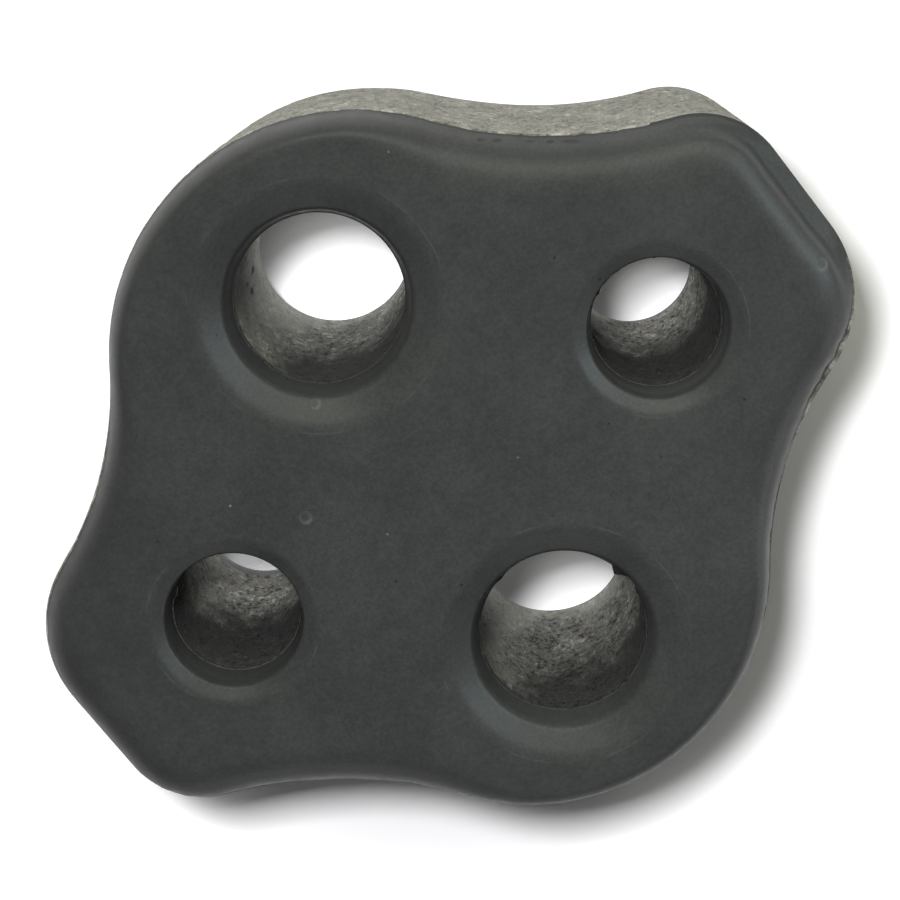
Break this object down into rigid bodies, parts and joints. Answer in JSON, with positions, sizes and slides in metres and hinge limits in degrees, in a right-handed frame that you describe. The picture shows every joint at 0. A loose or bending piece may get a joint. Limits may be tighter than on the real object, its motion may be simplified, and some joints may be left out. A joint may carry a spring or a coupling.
{
  "type": "exhaust hanger rubber",
  "caption": "Moulded rubber exhaust hanger, a thick lobed block with rounded edges and flared through bores that slip over hanger pins.",
  "frame": {"origin": "centre of the back face's footprint, on the surface the part lies on", "axes": "+Z from the back face to the front face, +X across the two small bores, +Y across the two large bores"},
  "size_m": [0.0578, 0.0494, 0.027],
  "materials": {
    "black_rubber": "matt, smooth moulded faces with a coarse side wall and bore walls"
  },
  "bodies": {
    "root": {"hanger_rubber": "black_rubber"}
  },
  "joints": []
}
